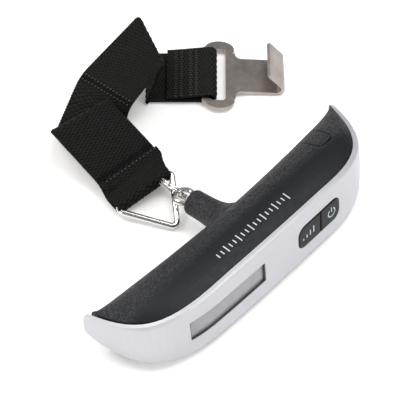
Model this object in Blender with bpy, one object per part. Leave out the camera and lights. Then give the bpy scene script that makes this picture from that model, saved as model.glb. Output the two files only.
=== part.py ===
"""Digital luggage scale: a T-shaped handle with a display, a webbing strap and a flat steel hook.

The handle's bar runs along X, its neck points along +Y and its printed side faces +Z. The
origin is the centre of the small flat on the handle's back, on which the handle rests. The
strap, the rings and the hook lie on the same level, z = 0. Lengths below are in millimetres.
"""
from math import acos, asin, atan2, cos, hypot, pi, radians, sin, sqrt

import bmesh
import bpy
from mathutils import Vector

MM = 0.001
GAP = 0.3                     # air between neighbouring pieces

# Handle
HALF_LENGTH = 63.2            # centre to tip of the silver cover
# Display face above and below the mid plane: half height at the middle, at the tips, power, bluntness
UPPER = (11.2, 5.8, 3.6, 0.82)
LOWER = (11.4, 8.0, 5.0, 0.36)
CROWN = 1.7                   # how far the black sides bulge past the display face
END_ROUND = 7.0               # length over which the tips round off
REST = 12.4                   # mid plane above the ground, at the bar's centre
TILT = 5.1                    # degrees by which the handle leans, its neck towards the ground
FRONT_Y = -13.2               # display face
BOW = 0.35                    # its bow
STRAIGHT = 28.0               # where its ends start to turn back
LEFT_END = ((55.5, 0.1), (60.5, -2.5))    # pull points of the turn at the display's end
RIGHT_END = ((47.5, 0.5), (55.8, -3.2))   # and at the keys' end
TIP_Y = 16.5                  # tips of the silver cover
BACK_Y = 11.8                 # neck side of the bar at its middle
BACK_TIP_Y = 16.3             # neck side of the bar at its ends
RIM = 2.0                     # width of the cover's flange
COVER_WALL = 1.5
SHELL_WALL = 2.0
SHELL_END = 60.3
SHELL_SLIM = 1.03             # the black underside rounds off this much ahead of the cover
NECK_END_Y = 27.0
NECK_R = 4.6
BORE_R = 2.8

# Display and keys, on the display face
LCD_X = -26.3
LCD_W = 34.4
LCD_H = 8.5
KEYS_X = 18.6
KEYS_W = 22.0
KEYS_H = 10.0

# Battery door, on the neck side, with a finger tab that reaches onto the printed side
DOOR_X0 = 11.0
DOOR_X1 = 52.0
DOOR_Z = 5.9
DOOR_WALL = 1.6
TAB_X0 = 36.8
TAB_X1 = 45.0
TAB_Y = 1.0
TAB_CORNER = 2.6

# Wire rings
EYE_R = 3.3                   # eye, centre line
EYE_WIRE = 0.95
EYE_FAR_Y = 34.0              # far side of the eye, centre line
COIL_R = 6.0                  # split ring, centre line
COIL_CENTRE = (1.55, 36.51, 7.25)
COIL_NORMAL = (0.875, 0.038, 0.482)
COIL_LOBE = 0.5               # each of its two coils, radius
TRI_WIRE = 1.15
TRI_CORNER = 1.8
TRI_A = (-16.4, 48.6, 3.0)    # corners of its centre line before rounding; A and C carry the strap
TRI_B = (-6.6, 27.6, 1.3)
TRI_C = (8.2, 43.9, 7.0)

# Strap
STRAP_W = 25.0
STRAP_T = 1.3
SEWN_T = 2.6                  # where the webbing is doubled and sewn
LYING_Z = 0.85                # mid thickness of webbing that lies on the ground
FOLD_GAP = 1.1                # how far a panel stops short of the fold line it hinges on

# Folds and cross lines of the webbing, from its left selvage to its right one
RING_END = ((-15.0, 52.2, 3.6), (9.6, 48.6, 5.6))
STEP = ((-13.1, 57.5, 6.0), (11.9, 54.7, 7.0))
CREST = ((-12.7, 81.4, 16.0), (12.1, 77.8, 16.5))
VALLEY = ((-3.6, 90.2, 0.85), (15.4, 73.6, 0.85))
CREASE = ((16.4, 95.9, 12.0), (15.9, 70.8, 13.5))
APEX = ((47.9, 95.8, 20.0), (37.2, 73.2, 18.0))
FOOT = ((47.2, 91.6, 0.85), (29.4, 75.4, 0.85))

# Hook plate, in its own axes: forwards from the strap's fold, and across
PLATE_T = 1.3
PLATE_ANGLE = -48.6           # degrees from +X to its forward axis
PLATE_AT = (56.9, 65.7)       # where its forward axis crosses the strap's fold
PLATE_Z = 2.55                # mid thickness above the ground, at its bar
PLATE_LEAN = 3.6              # degrees by which it leans down to its hook's bend
HEAD_BACK = -5.5
SLOT_BACK = -2.7
SLOT_FRONT = 3.2
SLOT_HALF = 13.3
NECK_HALF = 8.5
BEND_AT = 21.6
BEND_R = 1.75
HOOK_TURN = 134.0             # degrees through which the steel bends back
HOOK_LENGTH = 7.2             # straight lip after the bend
LOOP_BACK = -20.5             # end of the doubled, sewn webbing

HANDLE = {}                   # the handle's own axes, filled in by main
MATS = {}                     # materials by name, filled in by main


# ---------------------------------------------------------------- helpers

def clear_scene():
    for item in list(bpy.data.objects):
        bpy.data.objects.remove(item, do_unlink=True)


def material(name, color, rough, metal=0.0, alpha=1.0):
    mat = bpy.data.materials.new(name)
    mat.use_nodes = True
    shader = mat.node_tree.nodes["Principled BSDF"]
    shader.inputs["Base Color"].default_value = (*color, 1.0)
    shader.inputs["Roughness"].default_value = rough
    shader.inputs["Metallic"].default_value = metal
    shader.inputs["Alpha"].default_value = alpha
    return mat


def add_mesh(name, points, faces, mat, origin=(0, 0, 0)):
    """A named object from points in millimetres; its origin is placed at the given point."""
    base = Vector(origin)
    mesh = bpy.data.meshes.new(name)
    mesh.from_pydata([(Vector(p) - base) * MM for p in points], [], faces)
    work = bmesh.new()
    work.from_mesh(mesh)
    bmesh.ops.recalc_face_normals(work, faces=work.faces)
    if work.calc_volume(signed=True) < 0:
        bmesh.ops.reverse_faces(work, faces=work.faces)
    work.to_mesh(mesh)
    work.free()
    mesh.materials.append(mat)
    mesh.shade_smooth()
    mesh.set_sharp_from_angle(angle=radians(32))
    item = bpy.data.objects.new(name, mesh)
    item.location = base * MM
    bpy.context.collection.objects.link(item)
    return item


def loft(rings, closed=False):
    """Points and faces of a skin over equal rings; the ends are capped unless it is closed."""
    count = len(rings[0])
    points = [p for ring in rings for p in ring]
    faces = []
    spans = len(rings) if closed else len(rings) - 1
    for i in range(spans):
        here = i * count
        there = ((i + 1) % len(rings)) * count
        for j in range(count):
            k = (j + 1) % count
            faces.append((here + j, here + k, there + k, there + j))
    if not closed:
        faces.append(tuple(range(count)))
        faces.append(tuple(range(len(points) - 1, len(points) - 1 - count, -1)))
    return points, faces


def prism(outline, low, high, axis):
    """An outline of 2-D points extruded along axis 0, 1 or 2; the other two axes keep order."""
    rings = []
    for level in (low, high):
        ring = []
        for a, b in outline:
            point = [a, b]
            point.insert(axis, level)
            ring.append(tuple(point))
        rings.append(ring)
    return loft(rings)


def rectangle(x0, x1, y0, y1, radius=0.0, steps=4):
    """A rectangle's outline with rounded corners."""
    if radius <= 0:
        return [(x0, y0), (x1, y0), (x1, y1), (x0, y1)]
    points = []
    corners = ((x1 - radius, y1 - radius, 0), (x0 + radius, y1 - radius, 1),
               (x0 + radius, y0 + radius, 2), (x1 - radius, y0 + radius, 3))
    for cx, cy, quarter in corners:
        for step in range(steps + 1):
            turn = (quarter + step / steps) * pi / 2
            points.append((cx + radius * cos(turn), cy + radius * sin(turn)))
    return points


def block(name, x, y, z, mat, radius=0.0, axis=2):
    """A box between pairs of limits, with rounded corners around the given axis."""
    limits = [x, y, z]
    low, high = limits.pop(axis)
    outline = rectangle(*limits[0], *limits[1], radius)
    points, faces = prism(outline, low, high, axis)
    return add_piece(name, points, faces, mat)


def turned(profile, centre, axis, sides=24):
    """A solid turned around an axis; the profile lists (distance along the axis, radius)."""
    axis = Vector(axis).normalized()
    side = axis.orthogonal().normalized()
    other = axis.cross(side)
    rings = []
    for along, radius in profile:
        ring = []
        for k in range(sides):
            turn = 2 * pi * k / sides
            arm = side * cos(turn) + other * sin(turn)
            ring.append(tuple(Vector(centre) + axis * along + arm * radius))
        rings.append(ring)
    return loft(rings)


def sleeve(profile_outer, profile_inner, centre, axis, sides=24):
    """A turned ring: outer profile out and inner profile back, closed on itself."""
    loop = list(profile_outer) + list(reversed(profile_inner))
    axis = Vector(axis).normalized()
    side = axis.orthogonal().normalized()
    other = axis.cross(side)
    rings = []
    for k in range(sides):
        turn = 2 * pi * k / sides
        arm = side * cos(turn) + other * sin(turn)
        rings.append([tuple(Vector(centre) + axis * along + arm * radius) for along, radius in loop])
    return loft(rings, closed=True)


def tube(path, radius, closed=False, sides=10):
    """A round wire along a path."""
    nodes = [Vector(p) for p in path]
    count = len(nodes)
    tangents = []
    for i in range(count):
        if closed:
            run = nodes[(i + 1) % count] - nodes[i - 1]
        else:
            run = nodes[min(i + 1, count - 1)] - nodes[max(i - 1, 0)]
        tangents.append(run.normalized())
    side = tangents[0].orthogonal().normalized()
    frames = [side]
    for i in range(1, count):
        side = side - tangents[i] * side.dot(tangents[i])
        side.normalize()
        frames.append(side)
    twist = 0.0
    if closed:
        last = frames[-1] - tangents[0] * frames[-1].dot(tangents[0])
        last.normalize()
        twist = atan2(frames[0].cross(last).dot(tangents[0]), frames[0].dot(last))
    rings = []
    for i in range(count):
        spin = -twist * i / count
        a = frames[i] * cos(spin) + tangents[i].cross(frames[i]) * sin(spin)
        b = tangents[i].cross(a)
        ring = []
        for k in range(sides):
            turn = 2 * pi * k / sides
            ring.append(tuple(nodes[i] + (a * cos(turn) + b * sin(turn)) * radius))
        rings.append(ring)
    return loft(rings, closed=closed)


def add_piece(name, points, faces, mat, origin=(0, 0, 0)):
    """A part of the handle, drawn in the handle's own axes."""
    return seat(add_mesh(name, points, faces, mat, origin))


def cutter(name, points, faces):
    item = add_piece(name, points, faces, MATS["guide"])
    item.hide_render = True
    item.display_type = "WIRE"
    return item


def combine(item, tool, operation):
    step = item.modifiers.new(tool.name, "BOOLEAN")
    step.operation = operation
    step.solver = "EXACT"
    step.object = tool


def lerp(a, b, t):
    return a + (b - a) * t


def clamp(value, low, high):
    return max(low, min(high, value))


# ---------------------------------------------------------------- handle's form

def outline_point(u):
    """Display-side outline of the cover in plan, u from -1 (left tip) to 1 (right tip)."""
    split = 0.42
    side = -1.0 if u < 0 else 1.0
    a = abs(u)
    if a <= split:
        x = STRAIGHT * a / split
        return side * x, FRONT_Y + BOW * (x / STRAIGHT) ** 2
    t = (a - split) / (1.0 - split)
    y0 = FRONT_Y + BOW
    first, second = LEFT_END if u < 0 else RIGHT_END
    hull = ((STRAIGHT, y0), (first[0], y0 + first[1]), second, (HALF_LENGTH, TIP_Y))
    weights = ((1 - t) ** 3, 3 * t * (1 - t) ** 2, 3 * t * t * (1 - t), t ** 3)
    x = sum(w * p[0] for w, p in zip(weights, hull))
    y = sum(w * p[1] for w, p in zip(weights, hull))
    return side * x, y


def inset_point(u, inset):
    """The outline moved inwards by a distance."""
    step = 0.002
    x0, y0 = outline_point(max(u - step, -1.0))
    x1, y1 = outline_point(min(u + step, 1.0))
    run = hypot(x1 - x0, y1 - y0)
    x, y = outline_point(u)
    return x - inset * (y1 - y0) / run, y + inset * (x1 - x0) / run


def share_at(x):
    """The share u of the outline whose point lies at x."""
    low, high = -1.0, 1.0
    for _ in range(40):
        centre = (low + high) / 2
        if outline_point(centre)[0] < x:
            low = centre
        else:
            high = centre
    return (low + high) / 2


def face_half(x, form=UPPER):
    """Height of the display face above the mid plane at x, or below it."""
    middle_half, tip_half, power, blunt = form
    straight = tip_half + (middle_half - tip_half) * (1.0 - min(abs(x) / HALF_LENGTH, 1.0) ** power)
    t = clamp((abs(x) - HALF_LENGTH + END_ROUND) / END_ROUND, 0.0, 1.0)
    return straight * lerp(blunt, 1.0, sqrt(1.0 - t * t))


def rim_y(x, samples=400):
    """Where the black shell starts, behind the cover's flange."""
    side = -1.0 if x < 0 else 1.0
    points = [inset_point(side * i / samples, RIM + GAP) for i in range(samples + 1)]
    for (xa, ya), (xb, yb) in zip(points, points[1:]):
        if abs(xa) <= abs(x) <= abs(xb):
            return lerp(ya, yb, (abs(x) - abs(xa)) / (abs(xb) - abs(xa)))
    return points[-1][1]


def back_y(x):
    """The neck side of the bar, hollowed a little at the middle."""
    return BACK_Y + (BACK_TIP_Y - BACK_Y) * min(abs(x) / HALF_LENGTH, 1.0) ** 1.8


def shell_section(x, wall, form=UPPER, count=9):
    """Half of the black shell's section at x, from its rim to the neck side."""
    y0 = rim_y(x)
    y1 = back_y(x) - wall
    reach = SHELL_SLIM if form is LOWER else 1.0
    z0 = face_half(x * reach, form) + 0.1 - wall
    z1 = z0 + CROWN * clamp((y1 - y0) / 22.0, 0.15, 1.0)
    yc = lerp(y0, y1, 0.42)
    points = []
    for k in range(5):
        t = k / 5
        points.append((lerp(y0, yc, t), z0 + (z1 - z0) * (1 - (1 - t) ** 2)))
    power = 2 / 2.3
    for k in range(count + 1):
        turn = pi / 2 * k / count
        points.append((yc + (y1 - yc) * sin(turn) ** power, z1 * cos(turn) ** power if k < count else 0.0))
    return points


def shell_loop(x, wall):
    """Rim to rim around the neck side; the ground cuts the small flat on the back."""
    upper = shell_section(x, wall)
    mirrored = shell_section(x, wall, LOWER)
    lower = [(y, -min(z, ground_depth(y))) for y, z in reversed(mirrored[:-1])]
    return [(x, y, z) for y, z in upper + lower]


def seat(item):
    """Handle pieces are drawn around the bar's mid plane; this sets them in their lying place."""
    item.parent = HANDLE["frame"]
    return item


def ground_depth(y):
    """Depth of the ground under the mid plane, in the handle's own axes."""
    return (REST - y * sin(radians(TILT))) / cos(radians(TILT))


# ---------------------------------------------------------------- handle pieces

def cover_profile(h):
    """Distance behind the outline and height, from the face's middle over its rim to the inside."""
    return [(-0.35, 0.0), (-0.25, h * 0.5), (0.0, h - 0.9), (0.22, h - 0.3), (0.7, h), (RIM, h + 0.1),
            (RIM, h - 1.5), (COVER_WALL, h - 2.0)]


def make_cover():
    spans = 56
    rings = []
    for i in range(spans + 1):
        u = sin(pi / 2 * (2 * i / spans - 1) * 0.999999)
        u = lerp(u, 2 * i / spans - 1, 0.65)
        x, _ = outline_point(u)
        upper = cover_profile(face_half(x))
        lower = cover_profile(face_half(x, LOWER))
        section = upper + [(n, -z) for n, z in reversed(lower[1:])]
        rings.append([(*inset_point(u, n), z) for n, z in section])
    points, faces = loft(rings)
    cover = add_piece("top_cover", points, faces, MATS["silver"])
    window = rectangle(LCD_X - LCD_W / 2, LCD_X + LCD_W / 2, -LCD_H / 2, LCD_H / 2, 0.5)
    combine(cover, cutter("window_cutter", *prism(window, -18, -8, 1)), "DIFFERENCE")
    keys = pill(KEYS_X - KEYS_W / 2, KEYS_X + KEYS_W / 2, KEYS_H / 2)
    combine(cover, cutter("keys_cutter", *prism(keys, -18, -8, 1)), "DIFFERENCE")
    return cover


def pill(x0, x1, half, steps=6):
    """A long outline with well rounded corners in X and Z, around the mid plane."""
    return rectangle(x0, x1, -half, half, half * 0.72, steps)


def make_shell():
    spans = 40
    outer = []
    inner = []
    for i in range(spans + 1):
        t = sin(pi / 2 * (2 * i / spans - 1))
        t = lerp(t, 2 * i / spans - 1, 0.4)
        outer.append(shell_loop(t * SHELL_END, 0.0))
        inner.append(shell_loop(t * (SHELL_END - 2.6), SHELL_WALL))
    count = len(outer[0])
    points = [p for ring in outer + inner for p in ring]
    shift = len(outer) * count
    faces = []
    for base in (0, shift):
        for i in range(spans):
            for j in range(count - 1):
                a = base + i * count + j
                faces.append((a, a + 1, a + count + 1, a + count))
        faces.append(tuple(range(base, base + count)))
        faces.append(tuple(range(base + spans * count, base + (spans + 1) * count)))
    rim = [i * count for i in range(spans + 1)]
    rim += [i * count + count - 1 for i in range(spans, -1, -1)]
    for a, b in zip(rim, rim[1:] + rim[:1]):
        faces.append((a, b, b + shift, a + shift))
    shell = add_piece("handle_shell", points, faces, MATS["black"])
    neck = turned([(8.8, 7.3), (10.0, 8.1), (11.4, 7.3), (12.8, 6.4), (14.6, 5.6), (17.0, 5.05),
                   (20.0, 4.75), (24.0, NECK_R), (26.2, NECK_R), (26.8, 4.35), (NECK_END_Y, 3.9)],
                  (0, 0, 0), (0, 1, 0), 32)
    combine(shell, cutter("neck_form", *neck), "UNION")
    bore = turned([(3.0, BORE_R), (30.0, BORE_R)], (0, 0, 0), (0, 1, 0))
    combine(shell, cutter("neck_bore", *bore), "DIFFERENCE")
    hatch = rectangle(DOOR_X0, DOOR_X1, -DOOR_Z, DOOR_Z)
    combine(shell, cutter("door_opening", *prism(hatch, 3.0, 30.0, 1)), "DIFFERENCE")
    slot = rectangle(TAB_X0, TAB_X1, TAB_Y, 30.0, TAB_CORNER)
    combine(shell, cutter("tab_opening", *prism(slot, DOOR_Z - 0.5, 18.0, 2)), "DIFFERENCE")
    return shell


def door_outline(inset):
    """The battery door in X and Z: a long hatch with a finger tab that runs off upwards."""
    x0 = DOOR_X0 + inset
    x1 = DOOR_X1 - inset
    low = -DOOR_Z + inset
    high = DOOR_Z - inset
    tab0 = TAB_X0 + inset
    tab1 = TAB_X1 - inset
    far = 18.0
    return [(x0, low), (x1, low), (x1, high), (tab1, high), (tab1, far), (tab0, far), (tab0, high), (x0, high)]


def door_curve(x, wall, count=22):
    """The shell's section from the end of the tab, around the neck side, past the hatch."""
    y0 = rim_y(x)
    y1 = back_y(x) - wall
    z1 = shell_section(x, wall)[5][1]
    yc = lerp(y0, y1, 0.42)
    power = 2 / 2.3
    first = asin(max((TAB_Y + GAP - yc) / (y1 - yc), 0.0) ** (1 / power))
    last = pi - acos(min((DOOR_Z + 1.5) / z1, 0.97) ** (1 / power))
    points = []
    for k in range(count + 1):
        turn = lerp(first, last, k / count)
        fall = abs(cos(turn)) ** power * z1
        points.append((x, yc + (y1 - yc) * sin(turn) ** power, fall if turn < pi / 2 else -fall))
    return points


def tab_corner(x, side, radius, steps=5):
    """What is cut off to round one corner of the finger tab, in X and Y."""
    y = TAB_Y + GAP
    outline = [(x - side, y + radius), (x - side, y - 1.0), (x + side * radius, y - 1.0)]
    for k in range(steps + 1):
        turn = pi / 2 * k / steps
        outline.append((x + side * radius * (1 - sin(turn)), y + radius * (1 - cos(turn))))
    return outline


def make_door():
    """A skin that continues the neck side; its finger tab wraps onto the printed side."""
    rings = []
    spans = 14
    for i in range(spans + 1):
        x = lerp(DOOR_X0 - 2, DOOR_X1 + 2, i / spans)
        rings.append(door_curve(x, 0.0) + list(reversed(door_curve(x, DOOR_WALL))))
    points, faces = loft(rings)
    door = add_piece("battery_door", points, faces, MATS["black"], (32.0, 11.0, 0))
    combine(door, cutter("door_cutter", *prism(door_outline(GAP), -4.0, 30.0, 1)), "INTERSECT")
    for name, x, side in (("left_corner", TAB_X0 + GAP, 1), ("right_corner", TAB_X1 - GAP, -1)):
        corner = tab_corner(x, side, TAB_CORNER - GAP)
        combine(door, cutter(name, *prism(corner, DOOR_Z + 1.0, 25.0, 2)), "DIFFERENCE")
    return door


def make_display():
    z0 = -LCD_H / 2
    z1 = LCD_H / 2
    x0 = LCD_X - LCD_W / 2
    x1 = LCD_X + LCD_W / 2
    rings = []
    for k in range(15):
        u = share_at(lerp(x0 + GAP, x1 - GAP, k / 14))
        near = inset_point(u, 0.7)
        far = inset_point(u, 1.8)
        rings.append([(*near, z0 + GAP), (*near, z1 - GAP), (*far, z1 - GAP), (*far, z0 + GAP)])
    add_piece("display_window", *loft(rings), MATS["clear"])
    frame = block("display_gasket", (x0 + 0.4, x1 + 1.2), (-9.0, -8.6), (z0 - 1.4, z1 + 1.4),
                  MATS["rubber"], 0.6, 1)
    hole = rectangle(x0 + 1.4, x1 - 0.8, z0 + 0.7, z1 - 0.7, 0.4)
    combine(frame, cutter("gasket_cutter", *prism(hole, -12.0, -8.0, 1)), "DIFFERENCE")
    block("lcd_panel", (x0 + 0.2, x1 + 0.6), (-8.3, -7.5), (z0 - 1.6, z1 + 0.8), MATS["lcd"], 0.3, 1)
    block("lcd_reflector", (x0 + 0.4, x1 + 0.4), (-7.2, -6.7), (z0 + 0.9, z1 + 0.6), MATS["white"], 0.3, 1)
    block("zebra_connector", (x0 + 1.0, x1 - 1.0), (-7.2, -5.7), (z0 - 1.2, z0 + 0.4), MATS["rubber"])
    block("circuit_board", (-47.0, 34.0), (-5.4, -4.2), (-7.4, 7.4), MATS["board"], 1.5, 1)
    dome = [(-3.9, 4.6), (-3.4, 4.4), (-2.9, 3.6), (-2.5, 2.2), (-2.35, 0.7)]
    blob = turned(dome, (-40.5, 0, 0), (0, 1, 0), 20)
    add_piece("chip_cap", *blob, MATS["epoxy"])


def make_keys():
    gap = 0.25
    middle = KEYS_X + 0.7
    half = KEYS_H / 2 - gap
    x0 = KEYS_X - KEYS_W / 2 + gap
    x1 = KEYS_X + KEYS_W / 2 - gap
    for name, low, high in (("unit_key", x0, middle - 0.15), ("power_tare_key", middle + 0.15, x1)):
        whole = pill(x0, x1, half)
        points = [(clamp(x, low, high), z) for x, z in whole]
        if low > x0:
            points = [p for p in points if p[0] > low] + [(low, -half), (low, half)]
        else:
            points = [p for p in points if p[0] < high] + [(high, half), (high, -half)]
        points.sort(key=lambda p: atan2(p[1], p[0] - (low + high) / 2))
        rings = []
        centre = (low + high) / 2
        for y, shrink in ((-13.6, 0.45), (-13.35, 0.1), (-13.1, 0.0), (-9.0, 0.0)):
            factor_x = 1 - shrink / (high - low) * 2
            factor_z = 1 - shrink / half
            rings.append([(centre + (x - centre) * factor_x, y, z * factor_z) for x, z in points])
        shape = loft(rings)
        add_piece(name, *shape, MATS["key"], (centre, -11.0, 0))
    block("keypad_membrane", (x0 - 1.5, x1 + 1.5), (-7.7, -5.7), (-6.2, 6.2), MATS["rubber"], 2.0, 1)


def make_power():
    """One cylindrical cell between two spring contacts, behind the door."""
    cell = [(0.0, 4.9), (0.3, 5.2), (41.6, 5.2), (42.0, 4.9), (42.1, 2.0), (43.0, 1.9)]
    add_piece("battery_cell", *turned(cell, (7.9, 4.1, 0), (1, 0, 0)), MATS["cell"])
    block("battery_contact_plus", (51.2, 51.6), (0.9, 7.3), (-4.0, 4.0), MATS["steel"], 0.5, 0)
    block("battery_contact_minus", (7.2, 7.6), (0.9, 7.3), (-4.0, 4.0), MATS["steel"], 0.5, 0)


def make_load_cell():
    """A bending beam: fixed to the shell by a bracket at its left end, pulled by the eye bolt."""
    z = (-4.0, 4.0)
    beam = block("load_cell", (-34.0, 6.0), (1.6, 6.0), z, MATS["aluminium"], 0.6, 2)
    window = rectangle(-20.5, -9.5, 2.6, 5.0, 1.1)
    combine(beam, cutter("beam_window", *prism(window, -6, 6, 2)), "DIFFERENCE")
    hole = turned([(0.0, 1.75), (8.0, 1.75)], (0, 0, 0), (0, 1, 0), 20)
    combine(beam, cutter("beam_hole", *hole), "DIFFERENCE")
    block("strain_gauge_front", (-18.5, -11.5), (0.9, 1.3), (-2.2, 2.2), MATS["gauge"])
    block("strain_gauge_back", (-18.5, -11.5), (6.3, 6.7), (-2.2, 2.2), MATS["gauge"])
    block("load_cell_bracket", (-38.0, -24.0), (6.4, 8.4), (-5.0, 5.0), MATS["steel"], 1.0, 1)
    for name, x in (("load_cell_screw_left", -31.0), ("load_cell_screw_right", -26.5)):
        head = turned([(-1.1, 1.9), (-0.7, 2.1), (1.3, 2.1)], (x, 0, 0), (0, 1, 0), 16)
        add_piece(name, *head, MATS["steel"])
    route = [(-38.6, -3.4, 5.6), (-36.5, -1.6, 6.2), (-32.5, -0.4, 6.4),
             (-27.0, 0.0, 6.4), (-22.0, 0.1, 6.2), (-19.6, 0.2, 5.2)]
    add_piece("sensor_wires", *tube(route, 0.55, sides=8), MATS["wire"])


def make_eye():
    """Steel rod through the neck, bent back into an eye outside it, with its nut inside."""
    centre = EYE_FAR_Y - EYE_R
    path = [(0.0, y, 0.0) for y in (-0.6, 8.0, 16.0, 23.0)]
    path += [(0.05, 24.8, 0.0), (0.35, 26.2, 0.0), (0.95, 27.3, 0.0)]
    steps = 22
    for k in range(steps + 1):
        turn = radians(lerp(-55.0, 232.0, k / steps))
        path.append((EYE_R * cos(turn), centre + EYE_R * sin(turn), 0.0))
    points, faces = tube(path, EYE_WIRE, sides=12)
    add_piece("eye_bolt", points, faces, MATS["steel"])
    bore = EYE_WIRE + 0.2
    nut = sleeve([(-0.3, 2.6), (1.2, 2.6)], [(-0.3, bore), (1.2, bore)], (0, 0, 0), (0, 1, 0), 6)
    add_piece("eye_bolt_nut", *nut, MATS["steel"])
    bush = sleeve([(17.5, 2.5), (23.6, 2.5)], [(17.5, bore), (23.6, bore)], (0, 0, 0), (0, 1, 0))
    add_piece("neck_bush", *bush, MATS["steel"])


# ---------------------------------------------------------------- rings

def handle_point(x, y, z=0.0):
    """A point of the handle's own axes, in the part's frame."""
    turn = radians(TILT)
    return Vector((x, y * cos(turn) + z * sin(turn), z * cos(turn) - y * sin(turn) + REST))


def coil_axes():
    """Centre of the split ring and its axes: towards the handle's eye, across, and its normal."""
    eye = handle_point(0.0, EYE_FAR_Y)
    normal = Vector(COIL_NORMAL).normalized()
    level = Vector((0.0, 0.0, 1.0)).cross(normal).normalized()
    rise = normal.cross(level)
    centre = Vector(COIL_CENTRE)
    return eye, centre, level, rise, normal


def make_split_ring():
    """Flat double coil: its section has two lobes, side by side along the ring's axis."""
    eye, centre, level, rise, normal = coil_axes()
    section = []
    for side in (-1, 1):
        for k in range(7):
            turn = radians(lerp(-150, 150, k / 6)) + (pi if side < 0 else 0.0)
            section.append((side * COIL_LOBE * 0.9 + COIL_LOBE * cos(turn), COIL_LOBE * sin(turn)))
    rings = []
    count = 44
    for i in range(count):
        turn = 2 * pi * i / count
        out = level * cos(turn) + rise * sin(turn)
        rings.append([centre + out * (COIL_R + b) + normal * a for a, b in section])
    points, faces = loft(rings, closed=True)
    add_mesh("split_ring", points, faces, MATS["chrome"], eye)


def triangle_path(steps=6):
    """Centre line of the triangular ring, with rounded corners."""
    corners = [Vector(TRI_A), Vector(TRI_B), Vector(TRI_C)]
    path = []
    for i in range(3):
        here = corners[i]
        back = (corners[i - 1] - here).normalized()
        ahead = (corners[(i + 1) % 3] - here).normalized()
        half = back.angle(ahead) / 2
        reach = TRI_CORNER * cos(half) / sin(half)
        centre = here + (back + ahead).normalized() * (TRI_CORNER / sin(half))
        start = here + back * reach - centre
        stop = here + ahead * reach - centre
        for k in range(steps + 1):
            path.append(centre + start.lerp(stop, k / steps).normalized() * TRI_CORNER)
    return path


def triangle_pivot():
    """Where the bar from B to C crosses the split ring's plane."""
    _, centre, _, _, normal = coil_axes()
    b = Vector(TRI_B)
    run = Vector(TRI_C) - b
    return b + run * ((centre - b).dot(normal) / run.dot(normal))


def make_triangle_ring():
    points, faces = tube(triangle_path(), TRI_WIRE, closed=True, sides=12)
    add_mesh("triangle_ring", points, faces, MATS["chrome"], triangle_pivot())


# ---------------------------------------------------------------- strap

def middle(line):
    return (Vector(line[0]) + Vector(line[1])) / 2


def towards(line, other, distance):
    """A cross line moved a distance towards another one."""
    result = []
    for p, q in zip(line, other):
        run = Vector(q) - Vector(p)
        result.append(Vector(p) + run.normalized() * distance)
    return tuple(result)


def course(lines, steps):
    """Cross lines of a smooth ribbon through the given ones."""
    lines = [(Vector(a), Vector(b)) for a, b in lines]
    padded = [lines[0]] + lines + [lines[-1]]
    result = []
    for i in range(1, len(padded) - 2):
        for k in range(steps):
            t = k / steps
            pair = []
            for side in (0, 1):
                p0, p1, p2, p3 = (padded[i + j][side] for j in (-1, 0, 1, 2))
                pair.append((p1 * 2 + (p2 - p0) * t + (p0 * 2 - p1 * 5 + p2 * 4 - p3) * t ** 2
                             + (p1 * 3 - p0 - p2 * 3 + p3) * t ** 3) / 2)
                pair[-1].z = max(pair[-1].z, LYING_Z)
            result.append(tuple(pair))
    result.append(lines[-1])
    return result


def ribbon(name, lines, thickness, origin):
    """A closed band along cross lines; thickness gives its value at a share of the length."""
    rings = []
    last = len(lines) - 1
    for i, (left, right) in enumerate(lines):
        ahead = lines[min(i + 1, last)]
        behind = lines[max(i - 1, 0)]
        run = ahead[0] + ahead[1] - behind[0] - behind[1]
        normal = (right - left).cross(run).normalized() * thickness(i / last) / 2
        rings.append([left - normal, right - normal, right + normal, left + normal])
    points, faces = loft(rings)
    return add_mesh(name, points, faces, MATS["webbing"], origin)


def hollow(outer, inner, low, high):
    """A band between two loops of paired 2-D points, from one placing function to another."""
    rings = [[low(*a), high(*a), high(*b), low(*b)] for a, b in zip(outer, inner)]
    return loft(rings, closed=True)


def make_ring_loop():
    """The webbing's loop around the triangular ring's strap side."""
    a = Vector(TRI_A)
    along = (Vector(TRI_C) - a).normalized()
    length = (Vector(TRI_C) - a).length
    tail = middle(STEP) - middle((TRI_A, TRI_C))
    tail = (tail - along * tail.dot(along)).normalized()
    normal = along.cross(tail)
    bore = TRI_WIRE + GAP
    outer = []
    inner = []
    count = 24
    for k in range(count):
        turn = 2 * pi * k / count
        outer.append((min((bore + STRAP_T) * cos(turn), 2.6), (bore + STRAP_T * 0.9) * sin(turn)))
        inner.append((bore * cos(turn), bore * sin(turn)))
    edge = 3.3

    def low(s, t):
        return a + along * edge + tail * s + normal * t

    def high(s, t):
        return a + along * (length - 7.4) + tail * s + normal * t

    add_mesh("strap_ring_loop", *hollow(outer, inner, low, high), MATS["webbing"], (a + Vector(TRI_C)) / 2)


def plate_point(along, across, height=0.0):
    """A point in the strap's fold frame on the ground: forwards, across and up."""
    turn = radians(PLATE_ANGLE)
    x = PLATE_AT[0] + along * cos(turn) - across * sin(turn)
    y = PLATE_AT[1] + along * sin(turn) + across * cos(turn)
    return Vector((x, y, height))


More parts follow.
